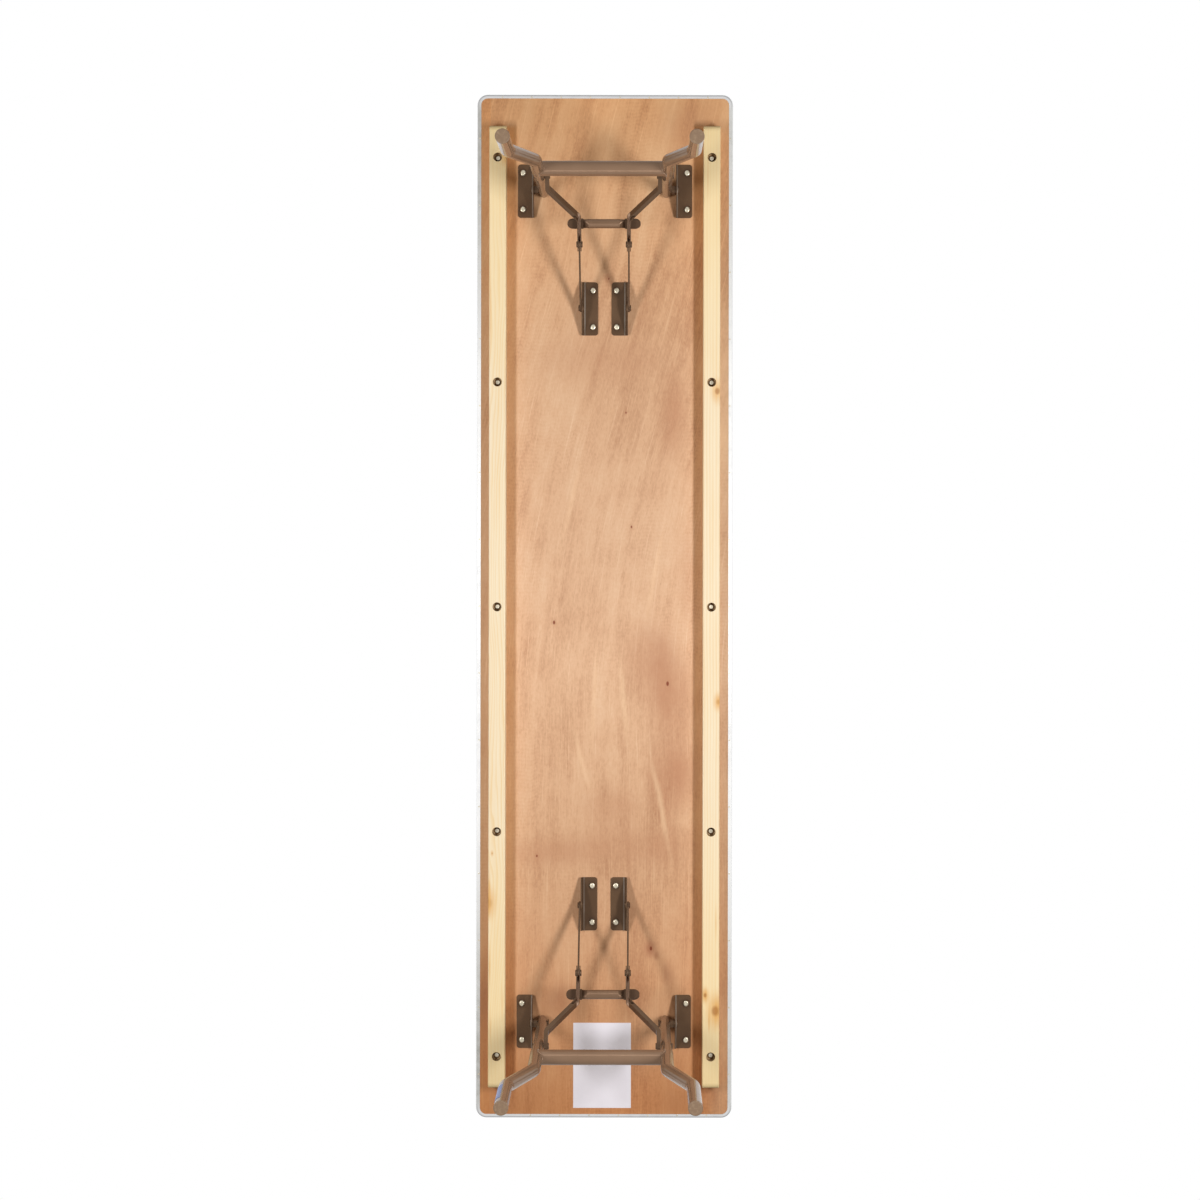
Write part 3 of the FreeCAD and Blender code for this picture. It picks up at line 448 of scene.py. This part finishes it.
def pine():
    g = Graph("pine_rail")
    x, y, z = g.split(g.place)
    wander = g.swing(g.noise(g.place, (2.5, 14.0, 14.0)), PINE_WANDER)
    log_y = g.times(g.math("SIGN", y), LOG_SIDE)
    depth_y = g.total(g.math("SUBTRACT", y, log_y), wander)
    depth_z = g.total(g.math("SUBTRACT", z, LOG_HEIGHT), wander)
    ring = g.math("FRACT", g.times(g.hypot(depth_y, depth_z), 1 / RING_PITCH))
    late = g.times(g.remap(ring, 0.35, 0.9, kind="SMOOTHSTEP"), g.remap(ring, 1.0, 0.92))
    fibres = g.noise(g.place, (35.0, 900.0, 900.0), roughness=0.6)
    streaks = g.noise(g.place, (3.0, 90.0, 90.0))
    clouds = g.noise(g.place, (5.0, 20.0, 20.0), detail=2.0)
    tone = g.total(
        g.math("MULTIPLY_ADD", late, -0.34, 0.70),
        g.swing(fibres, 0.30),
        g.swing(streaks, 0.60),
        g.swing(clouds, 0.36),
    )
    colour = g.ramp(tone, (0.0, PINE_LATE), (0.45, PINE_MID), (0.9, PINE_PALE))
    # Golden towards the ends: painted warm light that stands in for how the light falls there.
    gold = g.remap(g.math("ABSOLUTE", x), 0.35, 0.85, 0.0, 0.75)
    colour = g.mix(g.times(gold, g.remap(streaks, 0.3, 0.7, 0.8, 1.0)), colour, PINE_GOLD)
    for centre_x, centre_y, size, dark in RAIL_KNOTS:
        centre = (centre_x, centre_y, RAIL_FACE)
        halo = g.spot(centre, (size * 3.2, size * 1.5, KNOT_DEPTH))
        colour = g.mix(g.times(halo, g.remap(streaks, 0.3, 0.6, 0.45, 1.0)), colour, PINE_HALO)
        heart = g.spot(centre, (size * 1.1, size * 0.8, KNOT_DEPTH))
        colour = g.mix(g.remap(heart, 0.25, 0.75, 0.0, dark), colour, PINE_KNOT)
    for centre_x, centre_y, reach_x, reach_y, strength in RAIL_STREAKS:
        streak = g.spot((centre_x, centre_y, RAIL_FACE), (reach_x, reach_y, KNOT_DEPTH))
        uneven = g.remap(fibres, 0.3, 0.7, 0.4 * strength, strength)
        colour = g.mix(g.times(streak, uneven), colour, PINE_HALO)
    # Painted shade on the walls of the screw counterbores.
    steps = g.times(x, 1 / BORE_PITCH)
    off_x = g.times(g.math("SUBTRACT", steps, g.math("ROUND", steps)), BORE_PITCH)
    off_y = g.math("SUBTRACT", g.math("ABSOLUTE", y), BORE_SIDE)
    in_bore = g.math("LESS_THAN", g.hypot(off_x, off_y), BORE_RADIUS)
    inside = g.times(in_bore, g.remap(z, RAIL_FACE, RAIL_FACE + BORE_FADE))
    colour = g.mix(g.times(inside, g.remap(fibres, 0.3, 0.7, 0.75, 0.95)), colour, BORE_SHADE_BROWN)
    roughness = g.math("MULTIPLY_ADD", fibres, 0.2, 0.48)
    relief = g.total(g.times(fibres, 0.5), g.times(late, 0.3))
    return g.finish(colour, roughness, relief, bump=0.25, depth=0.0003, specular_ior_level=0.3)


# Aluminium edge, and how much of its colour it keeps under painted shade at the ends, along the sides, where
# it is partly a painted reflection of the wood, and on its faces
ALUMINIUM_SHADES = shades((212, 213, 215), (243, 243, 242), (252, 252, 250))
ALUMINIUM_END_SHADE = (0.74, 0.74, 0.75, 1.0)
END_START = 0.885
END_FULL = 0.908
SIDE_SHADE_AND_REFLECTION = (0.42, 0.41, 0.38, 1.0)
SIDE_SHADE_START = 0.40
SIDE_SHADE_FULL = 0.80
END_RIM_SHADE = (0.55, 0.55, 0.56, 1.0)
RIM_WIDTH = 0.0022
CORNER_RADIUS = 0.019
OUTER_FACE_SHADE = (0.70, 0.70, 0.71, 1.0)
MOULDING_FOOT = 0.7444
FOOT_FADE = 0.003


def aluminium():
    g = Graph("edge_aluminium")
    x, y, z = g.split(g.place)
    from_middle = g.math("ABSOLUTE", x)
    side = g.math("ABSOLUTE", y)
    drawn = g.noise(g.place, (6.0, 6.0, 900.0), detail=4.0, roughness=0.7)
    scuffs = g.noise(g.place, (60.0, 60.0, 240.0), roughness=0.6)
    dents = g.noise(g.place, (14.0, 14.0, 30.0), detail=2.0)
    tone = g.total(0.5, g.swing(drawn, 0.5), g.swing(scuffs, 0.5))
    colour = g.shade(tone, ALUMINIUM_SHADES)
    # Painted shade on the end mouldings.
    at_end = g.remap(from_middle, END_START, END_FULL)
    colour = g.dim(at_end, colour, ALUMINIUM_END_SHADE)
    # Painted shade and painted reflection of the wood along the sides, stronger towards the ends.
    along_side = g.times(
        g.math("SUBTRACT", g.remap(from_middle, SIDE_SHADE_START, SIDE_SHADE_FULL), at_end),
        g.remap(y, -HALF_WIDTH, HALF_WIDTH, 1.0, 0.6),
        g.remap(scuffs, 0.35, 0.65, 0.7, 1.0),
    )
    colour = g.dim(along_side, colour, SIDE_SHADE_AND_REFLECTION)
    # Painted shadow line along the outer rim at the ends, round the corners too.
    past_x = g.math("MAXIMUM", g.math("SUBTRACT", from_middle, HALF_LENGTH - CORNER_RADIUS), 0.0)
    past_y = g.math("MAXIMUM", g.math("SUBTRACT", side, HALF_WIDTH - CORNER_RADIUS), 0.0)
    reach = g.hypot(past_x, past_y)
    rim = g.remap(reach, CORNER_RADIUS - 2 * RIM_WIDTH, CORNER_RADIUS - RIM_WIDTH)
    colour = g.dim(g.times(rim, at_end), colour, END_RIM_SHADE)
    # Painted shade on the outer face above the lip.
    colour = g.dim(g.remap(z, MOULDING_FOOT, MOULDING_FOOT + FOOT_FADE), colour, OUTER_FACE_SHADE)
    roughness = g.total(0.16, g.times(scuffs, 0.06), g.swing(drawn, 0.05))
    relief = g.total(g.times(drawn, 0.15), g.times(dents, 0.85))
    return g.finish(colour, roughness, relief, bump=0.15, depth=0.0010, metallic=0.85)


# Painted steel
LIGHT_PAINT = shades((110, 87, 69), (136, 109, 88), (162, 136, 115))
DARK_PAINT = shades((70, 51, 36), (94, 71, 52), (134, 109, 86))
BRACE_PAINT = shades((76, 57, 43), (100, 78, 60), (130, 105, 84))
BRIDGE_PAINT = shades((102, 79, 61), (126, 99, 78), (152, 125, 103))
PAINT_GLOSS = (0.74, 0.70, 0.66, 1.0)
PAINT_METALLIC = 0.28
# The pressed ends of the bridge bars, dark with painted shade of their dished flats
BRIDGE_PRESSED = 0.033
PRESSED_BEFORE = 0.007
PRESSED_AFTER = 0.003
PAINTED_SHADE_BROWN = linear(66, 49, 37)
# How far the bends of the brace and leg brackets lie from the middle of the table, each with a painted
# highlight
FOLDS = (0.0355, 0.129)
FOLD_REACH = 0.0016
FOLD_HIGHLIGHT_GREY = linear(168, 158, 148)
# Where the bracket screws stand, measured from the middle of the table both ways, each with painted shade
# round it, partly grime
BRACKET_SCREWS = ((0.7085, 0.1465), (0.7735, 0.1465), (0.4985, 0.0212), (0.5635, 0.0212))
BRACKET_FACE = 0.7405
SCREW_SHADE_REACH = 0.014
# The open channel of the lower arms, on the line through the arm's pivots, lightened inside with painted
# light
ARM_SIDE = 0.043
ARM_PIVOT = (0.741, ARM_SIDE, 0.506)
ARM_OPEN_WAY = (-0.7154, 0.0, -0.6987)
CHANNEL_HALF = 0.0021
CHANNEL_FLOOR = -0.0080
CHANNEL_PAINTED_LIGHT = linear(190, 158, 134)


def painted(name, colours, rough, pressed=None, folds=(), screws=(), channel=False):
    """A sprayed finish with fine orange peel, a slight drift of tone and small rubs.

    Where asked for, pressed ends are dull with painted shade, folds get a painted highlight, screws get
    painted shade and grime round them, and the inside of the arms' channel gets painted light.
    """
    g = Graph(name)
    x, y, z = g.split(g.place)
    side = g.math("ABSOLUTE", y)
    quarter = g.join(g.math("ABSOLUTE", x), side, z)
    peel = g.even_noise(900.0, detail=2.0)
    flakes = g.even_noise(2600.0, detail=1.0)
    drift = g.even_noise(16.0)
    rubs = g.remap(g.noise(g.place, (110.0, 110.0, 40.0), detail=5.0, roughness=0.7), 0.66, 0.76)
    tone = g.total(0.5, g.swing(drift, 0.5), g.swing(flakes, 0.4))
    colour = g.shade(tone, colours)
    colour = g.mix(g.times(rubs, 0.3), colour, colours[-1])
    for screw_x, screw_y in screws:
        # Painted shade round each screw head, partly grime.
        ring = g.spot((screw_x, screw_y, BRACKET_FACE), (SCREW_SHADE_REACH, SCREW_SHADE_REACH, SCREW_SHADE_REACH), quarter)
        colour = g.mix(g.times(ring, 0.8), colour, PAINTED_SHADE_BROWN)
    roughness = g.total(rough, g.swing(drift, 0.10), g.times(rubs, 0.10))
    if pressed:
        # Painted shade on the dished pressed flats, which are also rougher.
        flat = g.remap(side, pressed - PRESSED_BEFORE, pressed + PRESSED_AFTER)
        colour = g.mix(g.times(flat, 0.7), colour, PAINTED_SHADE_BROWN)
        roughness = g.total(roughness, g.times(flat, 0.30))
    if channel:
        # Painted light inside the channel, where shade falls.
        from_pivot = g.vector("SUBTRACT", quarter, ARM_PIVOT)["Vector"]
        depth = g.vector("DOT_PRODUCT", from_pivot, ARM_OPEN_WAY)["Value"]
        between_walls = g.math("LESS_THAN", g.apart(side, ARM_SIDE), CHANNEL_HALF)
        inside = g.times(between_walls, g.math("GREATER_THAN", depth, CHANNEL_FLOOR))
        colour = g.mix(inside, colour, CHANNEL_PAINTED_LIGHT)
    for fold in folds:
        # A painted highlight along each bend.
        line = g.remap(g.apart(side, fold), FOLD_REACH, 0.0, kind="SMOOTHSTEP")
        colour = g.mix(g.times(line, g.remap(drift, 0.35, 0.6, 0.3, 0.8)), colour, FOLD_HIGHLIGHT_GREY)
    return g.finish(colour, roughness, peel, bump=0.12, depth=0.0002, specular_tint=PAINT_GLOSS,
                    specular_ior_level=0.2, metallic=PAINT_METALLIC)


# Zinc, plastic, paper and the sticker
ZINC_SHADES = shades((142, 132, 112), (192, 183, 163), (228, 222, 204))
PLASTIC_SHADES = shades((90, 71, 54), (120, 97, 76), (150, 128, 104))
PAPER_SHADES = shades((226, 221, 230), (238, 234, 243), (247, 244, 252))
STICKER_SHADES = shades((44, 66, 128), (66, 92, 160), (98, 124, 186))


def zinc():
    g = Graph("zinc_plate")
    grain = g.even_noise(1500.0)
    patches = g.even_noise(260.0)
    tone = g.total(0.5, g.swing(grain, 0.5), g.swing(patches, 0.7))
    roughness = g.math("MULTIPLY_ADD", patches, 0.25, 0.18)
    colour = g.shade(tone, ZINC_SHADES)
    return g.finish(colour, roughness, grain, bump=0.15, depth=0.0002, metallic=1.0)


def foot_plastic():
    g = Graph("foot_plastic")
    pebble = g.even_noise(1100.0, roughness=0.6)
    wear = g.remap(g.even_noise(190.0, detail=5.0, roughness=0.7), 0.48, 0.72)
    tone = g.total(0.5, g.swing(pebble, 0.4), g.times(wear, 0.35))
    roughness = g.math("MULTIPLY_ADD", wear, 0.18, 0.46)
    colour = g.shade(tone, PLASTIC_SHADES)
    return g.finish(colour, roughness, pebble, bump=0.2, depth=0.0003, specular_ior_level=0.4)


def paper():
    g = Graph("label_paper")
    pulp = g.even_noise(700.0, detail=4.0, roughness=0.7)
    clouds = g.even_noise(24.0)
    tone = g.total(0.5, g.swing(pulp, 0.4), g.swing(clouds, 0.6))
    roughness = g.math("MULTIPLY_ADD", pulp, 0.15, 0.62)
    relief = g.total(g.times(pulp, 0.3), g.times(clouds, 0.7))
    colour = g.shade(tone, PAPER_SHADES)
    return g.finish(colour, roughness, relief, bump=0.2, depth=0.0005, specular_ior_level=0.3)


def sticker():
    g = Graph("sticker_blue")
    ink = g.even_noise(900.0)
    fade = g.even_noise(30.0)
    tone = g.total(0.5, g.swing(ink, 0.3), g.swing(fade, 0.7))
    roughness = g.math("MULTIPLY_ADD", fade, 0.2, 0.25)
    return g.finish(g.shade(tone, STICKER_SHADES), roughness, ink, bump=0.08, depth=0.0002)


FINISHES = {
    "plywood": plywood(),
    "pine": pine(),
    "edge_aluminium": aluminium(),
    "painted_steel": painted("painted_steel", LIGHT_PAINT, 0.16),
    "bracket_steel": painted("bracket_steel", DARK_PAINT, 0.24, folds=FOLDS, screws=BRACKET_SCREWS),
    "zinc_steel": zinc(),
    "foot_plastic": foot_plastic(),
    "label_paper": paper(),
    "sticker_blue": sticker(),
}

# Pieces painted darker than the rest of their slot
DARKER_PIECES = {
    "_upper_link": painted("brace_paint", BRACE_PAINT, 0.22),
    "_lower_arm": painted("arm_paint", BRACE_PAINT, 0.22, channel=True),
    "_bridge_bar": painted("bridge_paint", BRIDGE_PAINT, 0.20, pressed=BRIDGE_PRESSED),
}
for row in frame["record"]["subparts"]:
    mesh = nodes[row["node"]].data
    kinds = [finish for ending, finish in DARKER_PIECES.items() if row["node"].endswith(ending)]
    mesh.materials.clear()
    mesh.materials.append(kinds[0] if kinds else FINISHES[row["material_slot"]])


# Weld beads
BEAD_RADIUS = 0.0015
BEAD_POINTS = 90
BEAD_SIDES = 10
RIPPLE_SHARE = 0.16
RIPPLE_POINTS = 5
LEG_RADIUS = 0.0111
CROSS_TUBE_END_GAP = 0.004


def bead(name, path, body):
    """A closed weld bead along a ring of points, its ripples in the mesh."""
    shape = bmesh.new()
    count = len(path)
    rings = []
    for index, centre in enumerate(path):
        along = (path[(index + 1) % count] - path[index - 1]).normalized()
        out = (centre - sum(path, Vector()) / count).normalized()
        side = along.cross(out).normalized()
        out = side.cross(along)
        size = BEAD_RADIUS * (1 + RIPPLE_SHARE * math.sin(TURN * index / RIPPLE_POINTS))
        ring = []
        for step in range(BEAD_SIDES):
            angle = TURN * step / BEAD_SIDES
            ring.append(shape.verts.new(centre + size * (math.cos(angle) * out + math.sin(angle) * side)))
        rings.append(ring)
    for ring, after in zip(rings, rings[1:] + rings[:1]):
        for step in range(BEAD_SIDES):
            following = (step + 1) % BEAD_SIDES
            shape.faces.new((ring[step], ring[following], after[following], after[step]))
    bmesh.ops.recalc_face_normals(shape, faces=shape.faces)
    mesh = bpy.data.meshes.new(name)
    shape.to_mesh(mesh)
    shape.free()
    mesh.shade_smooth()
    mesh.materials.append(FINISHES["painted_steel"])
    piece = bpy.data.objects.new(name, mesh)
    bpy.context.scene.collection.objects.link(piece)
    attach(piece, body)


for end in ENDS:
    low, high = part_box(f"{end}_cross_tube")
    middle = (low + high) / 2
    tube_radius = (high.z - low.z) / 2
    leg_y = high.y + CROSS_TUBE_END_GAP
    for side, sign in zip(SIDES, (-1, 1)):
        ring = []
        for step in range(BEAD_POINTS):
            angle = TURN * step / BEAD_POINTS
            off_x = tube_radius * math.cos(angle)
            off_z = tube_radius * math.sin(angle)
            inset = math.sqrt(max(LEG_RADIUS ** 2 - off_x ** 2, CROSS_TUBE_END_GAP ** 2))
            ring.append(Vector((middle.x + off_x, sign * (leg_y - inset), middle.z + off_z)))
        bead(f"{end}_{side}_cross_tube_weld", ring, f"{end}_leg_frame")


# Floor
FLOOR_HALF = 3.4
FLOOR_HEIGHT = -0.0006
FLOOR_FADE = 1.1
FLOOR_DULL = linear(238, 238, 238)
FLOOR_BRIGHT = linear(246, 246, 246)


def floor():
    """A pale floor that fades into the background, is clear from below and throws no light back."""
    mesh = bpy.data.meshes.new("floor")
    half = FLOOR_HALF
    corners = [(x, y, FLOOR_HEIGHT) for x, y in ((-half, -half), (half, -half), (half, half), (-half, half))]
    mesh.from_pydata(corners, [], [(0, 1, 2, 3)])
    piece = bpy.data.objects.new("floor", mesh)
    bpy.context.scene.collection.objects.link(piece)
    g = Graph("floor_paint")
    colour = g.ramp(g.even_noise(9.0), (0.0, FLOOR_DULL), (1.0, FLOOR_BRIGHT))
    material = g.finish(colour, 0.7, specular_ior_level=0.2)
    clear = g.node("ShaderNodeBsdfTransparent")
    below = g.node("ShaderNodeNewGeometry").outputs["Backfacing"]
    x, y, z = g.split(g.place)
    away = g.length(g.join(x, y, 0.0))
    faded = g.math("MAXIMUM", below, g.remap(away, FLOOR_FADE, FLOOR_HALF, kind="SMOOTHSTEP"))
    both = g.node("ShaderNodeMixShader", faded, g.shader.outputs[0], clear.outputs[0])
    g.tree.links.new(both.outputs[0], g.output.inputs[0])
    mesh.materials.append(material)
    piece.visible_diffuse = False
    piece.visible_shadow = False
    piece.visible_glossy = False
    piece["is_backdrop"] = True


# Light
AMBIENT = (0.150, 0.126, 0.090, 1.0)
BACKGROUND = (1.0, 1.0, 1.0, 1.0)
LIGHT_TARGET = Vector((0.0, 0.0, UNDERSIDE))
# Lamps: name, place, size, power, whether gloss shows it and whether it lights matt surfaces
LAMPS = (
    ("left_box", (0.0, -1.27, -1.657), (0.95, 0.24), 31.9, True, True),
    ("right_box", (0.0, 1.27, -1.657), (0.95, 0.24), 46.6, True, True),
    ("low_shine", (0.0, 0.0, -0.3), (0.4, 0.4), 0.9, True, False),
    ("upper_key", (-1.6, -2.4, 3.4), (1.6, 1.6), 118.0, False, True),
    ("upper_fill", (2.2, 2.0, 3.0), (2.0, 2.0), 72.0, False, True),
)


def lamp(name, place, size, power, shine, light):
    data = bpy.data.lights.new(name, "AREA")
    data.shape = "RECTANGLE"
    data.size, data.size_y = size
    data.energy = power
    made = bpy.data.objects.new(name, data)
    made.location = place
    made.visible_camera = False
    made.visible_glossy = shine
    made.visible_diffuse = light
    made.rotation_mode = "QUATERNION"
    made.rotation_quaternion = (LIGHT_TARGET - Vector(place)).to_track_quat("-Z", "Y")
    bpy.context.scene.collection.objects.link(made)


def world():
    """A white background for the camera, gloss and glass, and a soft warm fill for the rest."""
    made = bpy.data.worlds.new("studio")
    made.use_nodes = True
    tree = made.node_tree
    tree.nodes.clear()
    path = tree.nodes.new("ShaderNodeLightPath")
    seen = path.outputs["Is Camera Ray"]
    for other in ("Is Glossy Ray", "Is Transmission Ray"):
        either = tree.nodes.new("ShaderNodeMath")
        either.operation = "MAXIMUM"
        tree.links.new(seen, either.inputs[0])
        tree.links.new(path.outputs[other], either.inputs[1])
        seen = either.outputs[0]
    mixed = tree.nodes.new("ShaderNodeMix")
    mixed.data_type = "RGBA"
    tree.links.new(seen, mixed.inputs[MIX_FACTOR])
    mixed.inputs[MIX_FIRST].default_value = AMBIENT
    mixed.inputs[MIX_SECOND].default_value = BACKGROUND
    background = tree.nodes.new("ShaderNodeBackground")
    tree.links.new(mixed.outputs[MIX_RESULT], background.inputs[0])
    output = tree.nodes.new("ShaderNodeOutputWorld")
    tree.links.new(background.outputs[0], output.inputs[0])
    bpy.context.scene.world = made


floor()
world()
for row in LAMPS:
    lamp(*row)

# Camera: its place, its turn in degrees, and its shift in pixels of the picture
CAMERA_PLACE = (0.165, 0.057, -4.315)
CAMERA_ROLL = 0.09
CAMERA_LENS = 84.95
SENSOR_WIDTH = 36.0
PICTURE_WIDTH = 1200
SHIFT_X = -36.5
SHIFT_Y = -86.0
FAR_LIMIT = 100.0
data = bpy.data.cameras.new("camera")
data.lens = CAMERA_LENS
data.sensor_width = SENSOR_WIDTH
data.shift_x = SHIFT_X / PICTURE_WIDTH
data.shift_y = SHIFT_Y / PICTURE_WIDTH
data.clip_end = FAR_LIMIT
camera = bpy.data.objects.new("camera", data)
# The picture's right is +Y and its top is +X, and the view is straight up.
turned = Matrix(((0, 1, 0), (1, 0, 0), (0, 0, -1))).transposed().to_4x4()
roll = Matrix.Rotation(math.radians(CAMERA_ROLL), 4, "Z")
camera.matrix_world = Matrix.Translation(CAMERA_PLACE) @ turned @ roll
bpy.context.scene.collection.objects.link(camera)
bpy.context.scene.camera = camera
bpy.context.scene.view_settings.view_transform = "Standard"

low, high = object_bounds()
